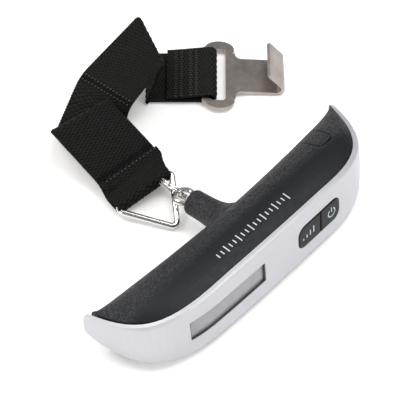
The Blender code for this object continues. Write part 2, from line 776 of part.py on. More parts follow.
def make_strap():
    pivot = (Vector(TRI_A) + Vector(TRI_C)) / 2
    lower = course([RING_END, STEP, towards(CREST, STEP, FOLD_GAP)], 5)
    sewn = 5 / 10

    def lower_thickness(share):
        return SEWN_T if share < sewn else STRAP_T

    ribbon("strap_lower_panel", lower, lower_thickness, pivot)

    def plain(_):
        return STRAP_T

    centre = course([towards(CREST, VALLEY, FOLD_GAP), VALLEY, CREASE, towards(APEX, CREASE, FOLD_GAP)], 6)
    ribbon("strap_middle_panel", centre, plain, middle(CREST))
    half = STRAP_W / 2
    landing = (plate_point(LOOP_BACK - 4.0, half, LYING_Z), plate_point(LOOP_BACK - 4.0, -half, LYING_Z))
    end = (plate_point(LOOP_BACK - GAP, half, LYING_Z), plate_point(LOOP_BACK - GAP, -half, LYING_Z))
    upper = course([towards(APEX, FOOT, FOLD_GAP), FOOT, landing, end], 5)
    ribbon("strap_upper_panel", upper, plain, middle(APEX))


def make_hook_loop():
    """Doubled webbing, sewn behind the hook plate's bar and wrapped around it."""
    base = 0.1
    top = 5.0
    sewn = base + SEWN_T
    wrap = (top - base) / 2
    outer = [(LOOP_BACK, base), (-8.4, base), (-5.0, base), (-wrap, base)]
    outer += [(-wrap + wrap * cos(a), base + wrap + wrap * sin(a)) for a in (-1.1, -0.55, 0.0, 0.55, 1.1)]
    outer += [(-wrap, top), (-5.0, top), (-6.6, top - 0.2)]
    outer += [(-9.6, sewn + 0.3), (-11.0, sewn), (LOOP_BACK, sewn)]
    core = wrap - STRAP_T
    inner = [(-8.6, 1.45), (-7.6, base + STRAP_T), (-5.0, base + STRAP_T), (-wrap, base + STRAP_T)]
    inner += [(-wrap + core * cos(a), base + wrap + core * sin(a)) for a in (-1.1, -0.55, 0.0, 0.55, 1.1)]
    inner += [(-wrap, top - STRAP_T), (-5.0, top - STRAP_T), (-6.2, top - STRAP_T - 0.1), (-7.6, 2.6),
              (-8.2, 2.1), (-8.6, 1.6)]

    def low(along, height):
        return plate_point(along, -STRAP_W / 2, height)

    def high(along, height):
        return plate_point(along, STRAP_W / 2, height)

    add_mesh("strap_hook_loop", *hollow(outer, inner, low, high), MATS["webbing"], middle(APEX))


# ---------------------------------------------------------------- hook plate

def steel_point(along, across, side):
    """A point of the plate: along the steel, across it, and side -1 below to 1 above."""
    lift = side * PLATE_T / 2
    bend = BEND_R + PLATE_T / 2
    reach = clamp((along - BEND_AT) / bend, 0.0, radians(HOOK_TURN))
    run = min(along, BEND_AT) + bend * sin(reach) - lift * sin(reach)
    rise = bend * (1 - cos(reach)) + lift * cos(reach)
    beyond = max(along - BEND_AT - bend * radians(HOOK_TURN), 0.0)
    run += beyond * cos(reach)
    rise += beyond * sin(reach)
    lean = radians(PLATE_LEAN)
    arm = run - HEAD_BACK
    return plate_point(HEAD_BACK + arm * cos(lean) + rise * sin(lean), across,
                       PLATE_Z - arm * sin(lean) + rise * cos(lean))


def head_outline():
    """Half of the plate's head, from the middle of its back edge round its lobe to the neck."""
    points = [(HEAD_BACK, 0.0), (HEAD_BACK, 13.2)]
    lobe = 4.35
    for degrees_ in range(160, -31, -19):
        turn = radians(degrees_)
        points.append((0.9 + lobe * 1.28 * cos(turn), 13.0 + lobe * sin(turn)))
    fillet = 2.2
    for degrees_ in (165, 190, 215, 240, 262):
        turn = radians(degrees_)
        points.append((8.9 + fillet * cos(turn), NECK_HALF + fillet + fillet * sin(turn)))
    points.append((9.8, NECK_HALF))
    points.append((9.8, 0.0))
    return points


def slot_outline():
    """Half of the slot, from its front edge at the middle back to its rear edge."""
    corner = 0.9
    return [(SLOT_FRONT, 0.0), (SLOT_FRONT, SLOT_HALF - corner), (SLOT_FRONT - corner, SLOT_HALF),
            (SLOT_BACK + corner, SLOT_HALF), (SLOT_BACK, SLOT_HALF - corner), (SLOT_BACK, 0.0)]


def make_hook_plate():
    half = head_outline() + slot_outline()
    flat = list(half) + [(a, -b) for a, b in half if b > 0]
    size = len(half)
    upper = list(range(size))
    lower = []
    mirrored = size
    for i, (_, b) in enumerate(half):
        if b > 0:
            lower.append(mirrored)
            mirrored += 1
        else:
            lower.append(i)
    faces = [upper, list(reversed(lower))]
    edge = len(head_outline())
    row = [lower[edge - 2], edge - 1, edge - 2]
    straight = [13.5, 17.5, BEND_AT]
    bend = (BEND_R + PLATE_T / 2) * radians(HOOK_TURN)
    stations = straight + [BEND_AT + bend * k / 9 for k in range(1, 10)]
    stations += [BEND_AT + bend + HOOK_LENGTH / 2, BEND_AT + bend + HOOK_LENGTH]
    for along in stations:
        start = len(flat)
        flat += [(along, -NECK_HALF), (along, 0.0), (along, NECK_HALF)]
        new = [start, start + 1, start + 2]
        faces.append([row[0], new[0], new[1], row[1]])
        faces.append([row[1], new[1], new[2], row[2]])
        row = new
    points = [steel_point(a, b, 1) for a, b in flat] + [steel_point(a, b, -1) for a, b in flat]
    shift = len(flat)
    uses = {}
    for face in faces:
        for i, a in enumerate(face):
            b = face[(i + 1) % len(face)]
            uses.setdefault(frozenset((a, b)), []).append((a, b))
    solid = [tuple(face) for face in faces]
    solid += [tuple(i + shift for i in reversed(face)) for face in faces]
    for pairs in uses.values():
        if len(pairs) == 1:
            a, b = pairs[0]
            solid.append((b, a, a + shift, b + shift))
    pivot = plate_point((HEAD_BACK + SLOT_BACK) / 2, 0.0, PLATE_Z)
    add_mesh("hook_plate", points, solid, MATS["plate"], pivot)


# ---------------------------------------------------------------- all of it

def make_materials():
    MATS["silver"] = material("silver_paint", (0.66, 0.67, 0.70), 0.38, 0.55)
    MATS["black"] = material("black_abs", (0.022, 0.023, 0.027), 0.48)
    MATS["clear"] = material("smoked_acrylic", (0.30, 0.31, 0.33), 0.10, 0.0, 0.35)
    MATS["rubber"] = material("black_rubber", (0.02, 0.02, 0.02), 0.75)
    MATS["lcd"] = material("lcd_glass", (0.36, 0.37, 0.39), 0.18)
    MATS["white"] = material("white_sheet", (0.80, 0.80, 0.78), 0.60)
    MATS["board"] = material("green_board", (0.03, 0.17, 0.08), 0.45)
    MATS["epoxy"] = material("black_epoxy", (0.015, 0.015, 0.015), 0.30)
    MATS["key"] = material("key_rubber", (0.055, 0.050, 0.052), 0.55)
    MATS["cell"] = material("cell_sleeve", (0.22, 0.23, 0.25), 0.35, 0.4)
    MATS["steel"] = material("plated_steel", (0.62, 0.62, 0.62), 0.28, 1.0)
    MATS["aluminium"] = material("aluminium", (0.72, 0.73, 0.74), 0.35, 1.0)
    MATS["gauge"] = material("gauge_foil", (0.65, 0.38, 0.14), 0.45)
    MATS["wire"] = material("wire_insulation", (0.55, 0.05, 0.04), 0.50)
    MATS["chrome"] = material("bright_nickel", (0.80, 0.79, 0.77), 0.10, 1.0)
    MATS["webbing"] = material("black_webbing", (0.012, 0.012, 0.011), 0.80)
    MATS["plate"] = material("rolled_steel", (0.30, 0.27, 0.25), 0.38, 1.0)
    MATS["guide"] = material("cutter_guide", (0.5, 0.5, 0.5), 0.50)


def main():
    clear_scene()
    make_materials()
    frame = bpy.data.objects.new("handle_frame", None)
    frame.location = (0, 0, REST * MM)
    frame.rotation_euler = (radians(-TILT), 0, 0)
    bpy.context.collection.objects.link(frame)
    HANDLE["frame"] = frame
    make_cover()
    make_shell()
    make_door()
    make_display()
    make_keys()
    make_power()
    make_load_cell()
    make_eye()
    make_split_ring()
    make_triangle_ring()
    make_ring_loop()
    make_strap()
    make_hook_loop()
    make_hook_plate()


main()
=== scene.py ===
"""Looks of the digital luggage scale: woven webbing with its stitching, moulded and painted
plastic, bright rings and rolled steel. Lengths are in millimetres unless a name says otherwise.
"""
from math import atan, cos, exp, pi, radians, sin

import bmesh
import bpy
from mathutils import Matrix, Vector
from mathutils.bvhtree import BVHTree


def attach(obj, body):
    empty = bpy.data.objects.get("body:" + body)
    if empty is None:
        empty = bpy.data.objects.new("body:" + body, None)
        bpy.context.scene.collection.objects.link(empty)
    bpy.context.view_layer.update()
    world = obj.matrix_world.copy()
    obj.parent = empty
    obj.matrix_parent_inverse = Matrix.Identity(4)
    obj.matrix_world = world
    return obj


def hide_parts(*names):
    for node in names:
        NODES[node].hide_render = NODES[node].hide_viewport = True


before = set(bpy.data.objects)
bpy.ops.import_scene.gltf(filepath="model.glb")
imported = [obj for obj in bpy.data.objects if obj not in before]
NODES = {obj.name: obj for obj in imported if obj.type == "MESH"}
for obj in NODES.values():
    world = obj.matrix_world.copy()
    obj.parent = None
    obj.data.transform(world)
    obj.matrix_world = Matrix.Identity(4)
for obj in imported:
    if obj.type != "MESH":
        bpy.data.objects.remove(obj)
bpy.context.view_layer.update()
MM = 0.001                    # one millimetre in the frame's metres

# Camera
AZIMUTH = -48.5
ELEVATION = 49.0
DISTANCE = 600.0
LOOK_AT = (3.8, 23.1, 10.0)
VIEW_WIDTH = 141.4            # what the picture shows across, at the point looked at

# Room
FLOOR_HALF = 1500.0
FLOOR_LEVEL = -0.02
SKY_LOW = (1.9, 1.89, 1.87)
SKY_HIGH = (1.0, 0.995, 0.985)
SKY_HIGH_AT = 0.95
SKY_BANDS = ((0.13, 1.7), (0.26, 0.07))     # height above the horizon and brightness in between
SKY_TINT = 1.02
SKY_STRENGTH = 0.42
LAMPS = (                     # name, place, size, watts and colour
    ("window_light", (-150, 520, 520), 420, 3.4, (1.0, 0.985, 0.96)),
    ("fill_light", (20, -620, 330), 420, 2.1, (0.96, 0.98, 1.0)),
    ("side_light", (-640, 60, 260), 300, 1.9, (1.0, 1.0, 1.0)),
    ("top_light", (220, -60, 700), 460, 3.7, (1.0, 1.0, 1.0)),
)

# Handle's own axes: mid plane above the ground and lean of its neck
REST = 12.4
TILT = 5.1
RAY_FRONT = -30.0             # clear of the handle in front and above, where searches for its surface start
RAY_TOP = 40.0

# Display opening in the cover: left, right, bottom and top
WINDOW = (-43.5, -9.1, -4.25, 4.25)
BEZEL_OUTER = 0.03            # rim round the opening, inwards from its edge
BEZEL_INNER = 0.42
BEZEL_OUTER_DEPTH = 0.16      # its front face behind the cover's
BEZEL_INNER_DEPTH = 0.22
BEZEL_BACK_DEPTH = 0.62
BEZEL_STEPS = 40

# Print: how far the ink stands out and reaches in, then each mark in the handle's axes
INK_TOP = 0.025
INK_ROOT = -0.02
TICK_COUNT = 18
TICKS_PER_LONG = 3
TICK_FIRST = 12.3
TICK_PITCH = 2.0
TICK_LEVEL = -5.0
TICK_HALF_LONG = 1.5
TICK_HALF_SHORT = 0.85
TICK_WIDTH = 0.44
KEY_FACE = -13.6
POWER_AT = (24.9, 0.1)
POWER_R = 1.75
POWER_ARC = (-235.0, 55.0)
POWER_STEPS = 22
POWER_STEM = (0.3, 2.3)
POWER_WIDTH = 0.42
STAIR_COUNT = 4
STAIR_FIRST = 10.2
STAIR_PITCH = 1.75
STAIR_FOOT = -1.35
STAIR_RISE = 0.75
STAIR_WIDTH = 0.5

# Triangular ring: corners of its centre line, its wire and its corners' rounding
RING_A = Vector((-16.4, 48.6, 3.0))
RING_B = Vector((-6.6, 27.6, 1.3))
RING_C = Vector((8.2, 43.9, 7.0))
TRIANGLE_WIRE = 1.15
TRIANGLE_CORNER = 1.8

# Split ring: a wire turned twice
COIL_R = 6.0
COIL_CENTRE = (1.55, 36.51, 7.25)
COIL_NORMAL = (0.875, 0.038, 0.482)
COIL_WIRE = 0.5
COIL_START = 2.4              # where on the ring the wire's ends lie, in radians
COIL_POINTS = 220
COIL_APART = 0.93             # half the distance between the turns, in wire radii
COIL_CROSSING = 9             # the crossing between the turns takes 1 / 9 of the wire

# Webbing: its cross lines from left selvage to right one, as it lies, and how far each fold is rounded
WEB_W = 25.0
WEB_T = 1.15
STEP = ((-13.1, 57.5, 5.9), (11.9, 54.7, 6.9))
CREST = ((-12.7, 81.4, 16.0), (12.1, 77.8, 16.5))
VALLEY = ((-3.6, 90.2, 0.9), (15.4, 73.6, 0.9))
CREASE = ((16.4, 95.9, 12.0), (15.9, 70.8, 13.5))
APEX = ((47.9, 95.8, 20.0), (37.2, 73.2, 18.0))
FOOT = ((47.2, 91.6, 0.9), (29.4, 75.4, 0.9))
FOLDS = (("crest", CREST, 1.9), ("valley", VALLEY, 5.0), ("crease", CREASE, 4.5), ("apex", APEX, 2.2),
         ("foot", FOOT, 7.5))
FOLD_STEPS = 9
LEG_SHARE = 0.45              # most of a straight run that one fold's rounding may take

# Webbing's loop on the triangular ring
RING_GAP = 0.25
LAYER = 0.66                  # unit for stacking the doubled layers
FLAP_END = (3.0, -0.4)        # places from the step: layers up, and along the tail
FLAP_BEND = (1.5, -3.4)
UNDER_STEP = (-1.0, 1.0)
LOOP_NECK = 4.6               # where the two layers part, from the ring's bar
NECK_OVER = 0.95
NECK_UNDER = -0.6
NECK_SPAN = (0.7, 25.0)       # where the selvages lie along the ring's bar
RING_BAR_SPAN = (1.1, 23.8)
LOOP_TURN = (60.0, 300.0)
LOOP_LINES = 9
TURN_REACH = 0.3              # rounding between the close lines of a turn

# Webbing's loop on the hook plate: distance from its fold and height, under, round and over the bar
HOOK_ANGLE = -48.6
HOOK_AT = (56.9, 65.7)
UNDER_PLATE = ((-25.5, 0.9), (-17.0, 1.0), (-2.45, 0.9))
PLATE_BAR_AT = (-2.45, 2.65)
PLATE_BAR_REACH = (1.85, 1.8)
PLATE_BAR_LINES = 8
OVER_PLATE = ((-2.45, 4.45), (-8.0, 3.8), (-13.5, 3.1), (-18.4, 2.7))
UNDER_REACH = 2.0
OVER_REACH = 1.5

# Weave: one knuckle along the webbing and across it, and how the selvages thin and wave
KNUCKLE_LONG = 0.62
KNUCKLE_WIDE = 1.40
KNUCKLE_HIGH = 0.2
WEAVE_COLUMNS = 74
LINE_SPACING = 0.22
EDGE_ROUND = 0.9              # the selvage thins over this width
EDGE_THIN = 0.45              # to this share of the thickness
EDGE_CALM = 0.5               # knuckles fade over this width
EDGE_WAVE = 0.16
EDGE_WAVE_REACH = 1.0
PAINTED_SHADE_REACH = 1.1            # how far painted shade reaches at the crease, the foot and past the flap's cut end, and by what share it darkens the webbing
PAINTED_SHADE_SHARE = 0.85
STEP_SHADE = 1.0              # the flap's shade lies this far past its cross line

# Stitches: how many, lead-in and spaces across the webbing, and each one's slant as a share of the width
CREASE_ROW = (15, 0.8, 16, 0.036)
FLAP_ROW = (14, 0.9, 15, 0.04)
TACK_ROW = (20, 0.6, 20, 0.022)
CREASE_OFFSETS = (-4, 4)      # in cross lines, like the next three
CREASE_RUN = 2
FLAP_LINE = 3
TACK_RUN = 8
BAR_TACKS = (2.4, 4.6, 8.0, 10.2)   # rows at the hook, from the cut end of the doubled layer
# One stitch: share of its length and radius at each of its rings
THREAD_FORM = ((0.04, 0.14), (0.22, 0.29), (0.5, 0.33), (0.78, 0.29), (0.96, 0.14))
THREAD_SIDES = 6
THREAD_FLAT = 0.8
THREAD_LIFT = 0.2


# ---------------------------------------------------------------- helpers

def handle_matrix():
    return Matrix.Translation((0, 0, REST * MM)) @ Matrix.Rotation(radians(-TILT), 4, "X")


def lerp(a, b, t):
    return a + (b - a) * t


def mesh_object(name, points, faces, mat, smooth=True):
    """An object from points in millimetres."""
    mesh = bpy.data.meshes.new(name)
    mesh.from_pydata([tuple(c * MM for c in p) for p in points], [], faces)
    work = bmesh.new()
    work.from_mesh(mesh)
    bmesh.ops.recalc_face_normals(work, faces=work.faces)
    work.to_mesh(mesh)
    work.free()
    if smooth:
        mesh.shade_smooth()
    mesh.materials.append(mat)
    item = bpy.data.objects.new(name, mesh)
    bpy.context.collection.objects.link(item)
    return item


def surface_of(name):
    """A CAD node's faces, to find points on them."""
    mesh = NODES[name].data
    return BVHTree.FromPolygons([v.co for v in mesh.vertices], [p.vertices for p in mesh.polygons])


# ---------------------------------------------------------------- materials

class Shader:
    """A Principled material with the few nodes that these finishes share."""

    def __init__(self, name, color, rough, metal=0.0, **sockets):
        self.mat = bpy.data.materials.new(name)
        self.mat.use_nodes = True
        self.nodes = self.mat.node_tree.nodes
        self.links = self.mat.node_tree.links
        self.main = self.nodes["Principled BSDF"]
        self.main.inputs["Base Color"].default_value = (*color, 1.0)
        self.main.inputs["Roughness"].default_value = rough
        self.main.inputs["Metallic"].default_value = metal
        for key, value in sockets.items():
            self.main.inputs[key.replace("_", " ")].default_value = value
        self.coordinates = self.nodes.new("ShaderNodeTexCoord").outputs["Object"]

    def noise(self, scale, detail=3.0, rough=0.5, stretch=None):
        """Noise in the object's own metres; stretch is a rotation and a scale."""
        node = self.nodes.new("ShaderNodeTexNoise")
        node.inputs["Scale"].default_value = scale
        node.inputs["Detail"].default_value = detail
        node.inputs["Roughness"].default_value = rough
        place = self.coordinates
        if stretch:
            mapping = self.nodes.new("ShaderNodeMapping")
            mapping.inputs["Rotation"].default_value = stretch[0]
            mapping.inputs["Scale"].default_value = stretch[1]
            self.links.new(place, mapping.inputs["Vector"])
            place = mapping.outputs["Vector"]
        self.links.new(place, node.inputs["Vector"])
        return node.outputs["Fac"]

    def ramp(self, fac, low, high, start=0.3, stop=0.7):
        """Maps a factor between two colours or, given numbers, two grey values."""
        node = self.nodes.new("ShaderNodeValToRGB")
        for end, position, value in zip(node.color_ramp.elements, (start, stop), (low, high)):
            end.position = position
            end.color = (*value, 1.0) if hasattr(value, "__len__") else (value, value, value, 1.0)
        self.links.new(fac, node.inputs["Fac"])
        return node.outputs["Color"]

    def multiply(self, a, b):
        node = self.nodes.new("ShaderNodeMath")
        node.operation = "MULTIPLY"
        self.links.new(a, node.inputs[0])
        self.links.new(b, node.inputs[1])
        return node.outputs["Value"]

    def paint(self, socket, output):
        self.links.new(output, self.main.inputs[socket])

    def bump(self, height, distance_mm, strength=1.0):
        node = self.nodes.new("ShaderNodeBump")
        node.inputs["Strength"].default_value = strength
        node.inputs["Distance"].default_value = distance_mm * MM
        self.links.new(height, node.inputs["Height"])
        self.links.new(node.outputs["Normal"], self.main.inputs["Normal"])


def plain(name, low, high, rough, metal=0.0, grain=1500.0, depth=0.01, **sockets):
    """A finish whose colour wanders between two close tones over a fine grain."""
    s = Shader(name, low, rough, metal, **sockets)
    s.paint("Base Color", s.ramp(s.noise(grain * 0.25, detail=4.0), low, high))
    s.bump(s.noise(grain, detail=2.0), depth, strength=0.5)
    return s.mat


def black_abs():
    """Moulded grain on the grip, fading to a smooth matt band beside the silver cover."""
    s = Shader("black_abs", (0.012, 0.013, 0.016), rough=0.5, Specular_IOR_Level=0.22)
    split = s.nodes.new("ShaderNodeSeparateXYZ")
    s.links.new(s.coordinates, split.inputs["Vector"])
    grip = s.ramp(split.outputs["Y"], 0.08, 1.0, start=0.0, stop=0.0045)
    pebbles = s.ramp(s.noise(1500.0, detail=2.0, rough=0.6), 0.0, 1.0, start=0.38, stop=0.66)
    grain = s.multiply(pebbles, grip)
    s.bump(grain, 0.16)
    s.paint("Base Color", s.ramp(grain, (0.0055, 0.0068, 0.0095), (0.040, 0.040, 0.042), 0.1, 1.0))
    s.paint("Roughness", s.ramp(s.noise(420.0, detail=4.0), 0.42, 0.56))
    return s.mat


def silver_paint():
    s = Shader("silver_paint", (0.46, 0.46, 0.49), rough=0.36, metal=0.35, Coat_Weight=0.15,
               Coat_Roughness=0.2)
    flake = s.noise(9000.0, detail=1.0)
    s.paint("Base Color", s.ramp(flake, (0.437, 0.437, 0.465), (0.488, 0.488, 0.517)))
    s.paint("Roughness", s.ramp(s.noise(160.0, detail=4.0), 0.32, 0.42))
    s.bump(flake, 0.004, strength=0.4)
    return s.mat


def webbing_material(name, painted_lightness):
    """Black yarn with painted highlights on the knuckles that stand out and painted shade at the creases; a
    higher painted lightness is a lighter black.
    """
    dark = (0.0008 * painted_lightness, 0.0008 * painted_lightness, 0.0007 * painted_lightness)
    light = (0.0105 * painted_lightness, 0.0103 * painted_lightness, 0.0096 * painted_lightness)
    s = Shader(name, dark, rough=0.46, Specular_IOR_Level=0.085)
    fibre = s.noise(5200.0, rough=0.7)
    # The knuckle attribute carries painted highlights on the knuckles' tops and painted shade at the
    # creases.
    painted_light_attr = s.nodes.new("ShaderNodeAttribute")
    painted_light_attr.attribute_name = "knuckle"
    mixed = s.nodes.new("ShaderNodeMath")
    mixed.operation = "MULTIPLY_ADD"
    mixed.inputs[1].default_value = 0.75
    s.links.new(painted_light_attr.outputs["Fac"], mixed.inputs[0])
    s.links.new(s.multiply(fibre, s.noise(900.0)), mixed.inputs[2])
    s.paint("Base Color", s.ramp(mixed.outputs["Value"], dark, light, start=0.3, stop=0.9))
    s.paint("Roughness", s.ramp(s.noise(1200.0, detail=2.0), 0.5, 0.75))
    s.bump(fibre, 0.06, strength=0.8)
    return s.mat


def bright_nickel():
    s = Shader("bright_nickel", (0.62, 0.61, 0.595), rough=0.1, metal=1.0)
    s.paint("Roughness", s.ramp(s.noise(700.0, detail=4.0), 0.06, 0.16))
    s.bump(s.noise(900.0), 0.02, strength=0.3)
    return s.mat


def rolled_steel():
    """Dull strip steel with rolling marks along it and faint warm staining."""
    s = Shader("rolled_steel", (0.30, 0.27, 0.25), rough=0.36, metal=1.0)
    along = ((0.0, 0.0, radians(-HOOK_ANGLE)), (0.06, 1.0, 1.0))
    marks = s.noise(5200.0, rough=0.6, stretch=along)
    stain = s.noise(150.0, detail=5.0, rough=0.65)
    s.paint("Base Color", s.ramp(stain, (0.285, 0.25, 0.225), (0.41, 0.375, 0.35)))
    s.paint("Roughness", s.ramp(marks, 0.27, 0.46))
    s.bump(marks, 0.012, strength=0.5)
    return s.mat


def lcd_glass():
    s = Shader("lcd_glass", (0.30, 0.31, 0.33), rough=0.22)
    s.paint("Base Color", s.ramp(s.noise(60.0, detail=2.0), (0.27, 0.275, 0.29), (0.36, 0.365, 0.385)))
    s.bump(s.noise(3000.0, detail=1.0), 0.004, strength=0.2)
    return s.mat


# ---------------------------------------------------------------- CAD nodes

def dress(name, mat):
    """A CAD node keeps its shape and takes a finished material."""
    item = NODES[name]
    item.data.materials.clear()
    item.data.materials.append(mat)


def soften_edges(name, width_mm):
    edge = NODES[name].modifiers.new("edge", "BEVEL")
    edge.width = width_mm * MM
    edge.segments = 2
    edge.limit_method = "ANGLE"
    edge.angle_limit = radians(40)


def dress_handle():
    """What shows of the handle: its shell and door, the cover, the display and the keys."""
    black = black_abs()
    key = plain("key_rubber", (0.008, 0.0075, 0.008), (0.012, 0.0115, 0.012), rough=0.42, grain=2600.0,
                depth=0.02, Specular_IOR_Level=0.16)
    dress("handle_shell", black)
    dress("battery_door", black)
    dress("top_cover", silver_paint())
    dress("display_window", plain("smoked_acrylic", (0.30, 0.295, 0.31), (0.34, 0.335, 0.35), rough=0.08,
                                  Alpha=0.86, Specular_IOR_Level=0.5))
    dress("lcd_panel", lcd_glass())
    dress("unit_key", key)
    dress("power_tare_key", key)


def dress_inside():
    """What the handle holds."""
    steel = plain("plated_steel", (0.52, 0.51, 0.50), (0.64, 0.63, 0.62), rough=0.26, metal=1.0)
    rubber = plain("black_rubber", (0.015, 0.015, 0.015), (0.03, 0.03, 0.03), rough=0.75)
    foil = plain("gauge_foil", (0.55, 0.30, 0.10), (0.68, 0.42, 0.18), rough=0.45)
    for name in ("display_gasket", "zebra_connector", "keypad_membrane"):
        dress(name, rubber)
    for name in ("strain_gauge_front", "strain_gauge_back"):
        dress(name, foil)
    for name in ("battery_contact_plus", "battery_contact_minus", "load_cell_bracket",
                 "load_cell_screw_left", "load_cell_screw_right", "eye_bolt_nut", "neck_bush"):
        dress(name, steel)
    dress("lcd_reflector", plain("white_sheet", (0.72, 0.72, 0.70), (0.80, 0.80, 0.78), rough=0.6))
    dress("circuit_board", plain("green_board", (0.02, 0.13, 0.06), (0.04, 0.19, 0.09), rough=0.4))
    dress("chip_cap", plain("black_epoxy", (0.01, 0.01, 0.01), (0.02, 0.02, 0.02), rough=0.25))
    dress("battery_cell", plain("cell_sleeve", (0.16, 0.17, 0.19), (0.24, 0.25, 0.27), rough=0.3,
                                metal=0.3))
    dress("load_cell", plain("aluminium", (0.62, 0.63, 0.64), (0.74, 0.75, 0.76), rough=0.34,
                             metal=1.0))
    dress("sensor_wires", plain("wire_insulation", (0.42, 0.03, 0.03), (0.55, 0.06, 0.05), rough=0.5))


def dress_hook():
    dress("hook_plate", rolled_steel())
    soften_edges("hook_plate", 0.22)


# ---------------------------------------------------------------- rings

def wire(name, path, radius, mat, closed=True, sides=20):
    """A round wire along a dense path, its section carried along without twist."""
    count = len(path)
    rings = []
    across = None
    for i, point in enumerate(path):
        ahead = path[(i + 1) % count] if closed else path[min(i + 1, count - 1)]
        behind = path[i - 1] if closed or i else path[0]
        run = (ahead - behind).normalized()
        across = run.orthogonal() if across is None else across
        across = (across - run * across.dot(run)).normalized()
        ring = []
        for k in range(sides):
            turn = 2 * pi * k / sides
            ring.append(point + (across * cos(turn) + run.cross(across) * sin(turn)) * radius)
        rings.append(ring)

    shift = closing_shift(rings, path) if closed else 0
    faces = []
    for i in range(count if closed else count - 1):
        n = (i + 1) % count
        offset = shift if n == 0 else 0
        for k in range(sides):
            a = (k + offset) % sides
            b = (k + 1 + offset) % sides
            faces.append((i * sides + a, i * sides + b, n * sides + (k + 1) % sides, n * sides + k))
    points = [p for ring in rings for p in ring]
    if not closed:
        faces.append(tuple(range(sides)))
        faces.append(tuple(range(len(points) - sides, len(points))))
    return mesh_object(name, points, faces, mat)


def closing_shift(rings, path):
    """Which point of a closed wire's last section faces the first point of its first one."""
    first = rings[0][0]
    run = (path[0] - path[-1]).normalized()

    def sideways(k):
        gap = rings[-1][k] - first
        return (gap - run * gap.dot(run)).length

    return min(range(len(rings[-1])), key=sideways)


def straight(a, b, spacing):
    """Points strictly between two others."""
    count = int((b - a).length / spacing)
    return [a.lerp(b, k / count) for k in range(1, count)]


def rounded_triangle(corners, radius, steps=10, spacing=0.8):
    """Centre line of the triangular ring."""
    path = []
    for i in range(3):
        here = corners[i]
        back = (corners[i - 1] - here).normalized()
        ahead = (corners[(i + 1) % 3] - here).normalized()
        half = back.angle(ahead) / 2
        reach = radius * cos(half) / sin(half)
        centre = here + (back + ahead).normalized() * (radius / sin(half))
        start = here + back * reach - centre
        stop = here + ahead * reach - centre
        arc = [centre + start.lerp(stop, k / steps).normalized() * radius for k in range(steps + 1)]
        if path:
            path += straight(path[-1], arc[0], spacing)
        path += arc
    return path + straight(path[-1], path[0], spacing)


def coil_path():
    """Two flat turns side by side, with one short crossing half way."""
    normal = Vector(COIL_NORMAL).normalized()
    level = Vector((0.0, 0.0, 1.0)).cross(normal).normalized()
    rise = normal.cross(level)
    path = []
    for i in range(COIL_POINTS):
        share = i / (COIL_POINTS - 1)
        turn = 4 * pi * i / (COIL_POINTS - 1) + COIL_START
        side = -1 + 2 * min(max((share - 0.5) * COIL_CROSSING + 0.5, 0.0), 1.0)
        out = level * cos(turn) + rise * sin(turn)
        path.append(Vector(COIL_CENTRE) + out * COIL_R + normal * COIL_WIRE * COIL_APART * side)
    return path


def make_rings():
    """Bright rings: the triangle, the eye at the neck and the flat double coil that joins them."""
    nickel = bright_nickel()
    corners = rounded_triangle((RING_A, RING_B, RING_C), TRIANGLE_CORNER)
    triangle = wire("triangle_wire", corners, TRIANGLE_WIRE, nickel)
    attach(triangle, "triangle_ring")
    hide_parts("triangle_ring")
    coil = wire("split_ring_coil", coil_path(), COIL_WIRE, nickel, closed=False, sides=16)
    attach(coil, "split_ring")
    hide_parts("split_ring")
    dress("eye_bolt", nickel)


# ---------------------------------------------------------------- webbing

def rounded_fold(before, line, after, reach):
    """Cross lines that round one fold, from the run before it to the run after it."""
    starts = []
    stops = []
    for last, here, following in zip(before, line, after):
        back = last - here
        ahead = following - here
        starts.append(here + back.normalized() * min(reach, back.length * LEG_SHARE))
        stops.append(here + ahead.normalized() * min(reach, ahead.length * LEG_SHARE))
    arc = []
    for k in range(FOLD_STEPS + 1):
        t = k / FOLD_STEPS
        arc.append(tuple(start * (1 - t) ** 2 + here * 2 * t * (1 - t) + stop * t ** 2
                         for start, here, stop in zip(starts, line, stops)))
    return arc


def middle_of(line):
    return (line[0] + line[1]) / 2


def rounded(lines, reaches):
    """Dense cross lines along a folded band, and where among them each given line comes out."""
    lines = [(Vector(a), Vector(b)) for a, b in lines]
    chain = []
    centres = []
    for i, line in enumerate(lines):
        inner = 0 < i < len(lines) - 1 and reaches[i] > 0
        leg = rounded_fold(lines[i - 1], line, lines[i + 1], reaches[i]) if inner else [line]
        centres.append(len(chain) + len(leg) // 2)
        chain += leg
    dense = []
    places = []
    for a, b in zip(chain, chain[1:]):
        places.append(len(dense))
        steps = max(1, round((middle_of(b) - middle_of(a)).length / LINE_SPACING))
        for k in range(steps):
            dense.append((a[0].lerp(b[0], k / steps), a[1].lerp(b[1], k / steps)))
    places.append(len(dense))
    dense.append(chain[-1])
    return dense, [places[centre] for centre in centres]


def web_frames(lines):
    """Distance along the band and its normal at each cross line."""
    travel = [0.0]
    for a, b in zip(lines, lines[1:]):
        travel.append(travel[-1] + (middle_of(b) - middle_of(a)).length)
    normals = []
    last = len(lines) - 1
    for i, (left, right) in enumerate(lines):
        ahead = lines[min(i + 2, last)]
        behind = lines[max(i - 2, 0)]
        run = (ahead[0] + ahead[1]) - (behind[0] + behind[1])
        normals.append((right - left).cross(run).normalized())
    return travel, normals


def weave(u, v):
    """How far a plain weave's knuckles stand out, -1 to 1, at a place along and across the webbing."""
    return cos(pi * u / KNUCKLE_LONG) * cos(pi * v / KNUCKLE_WIDE)


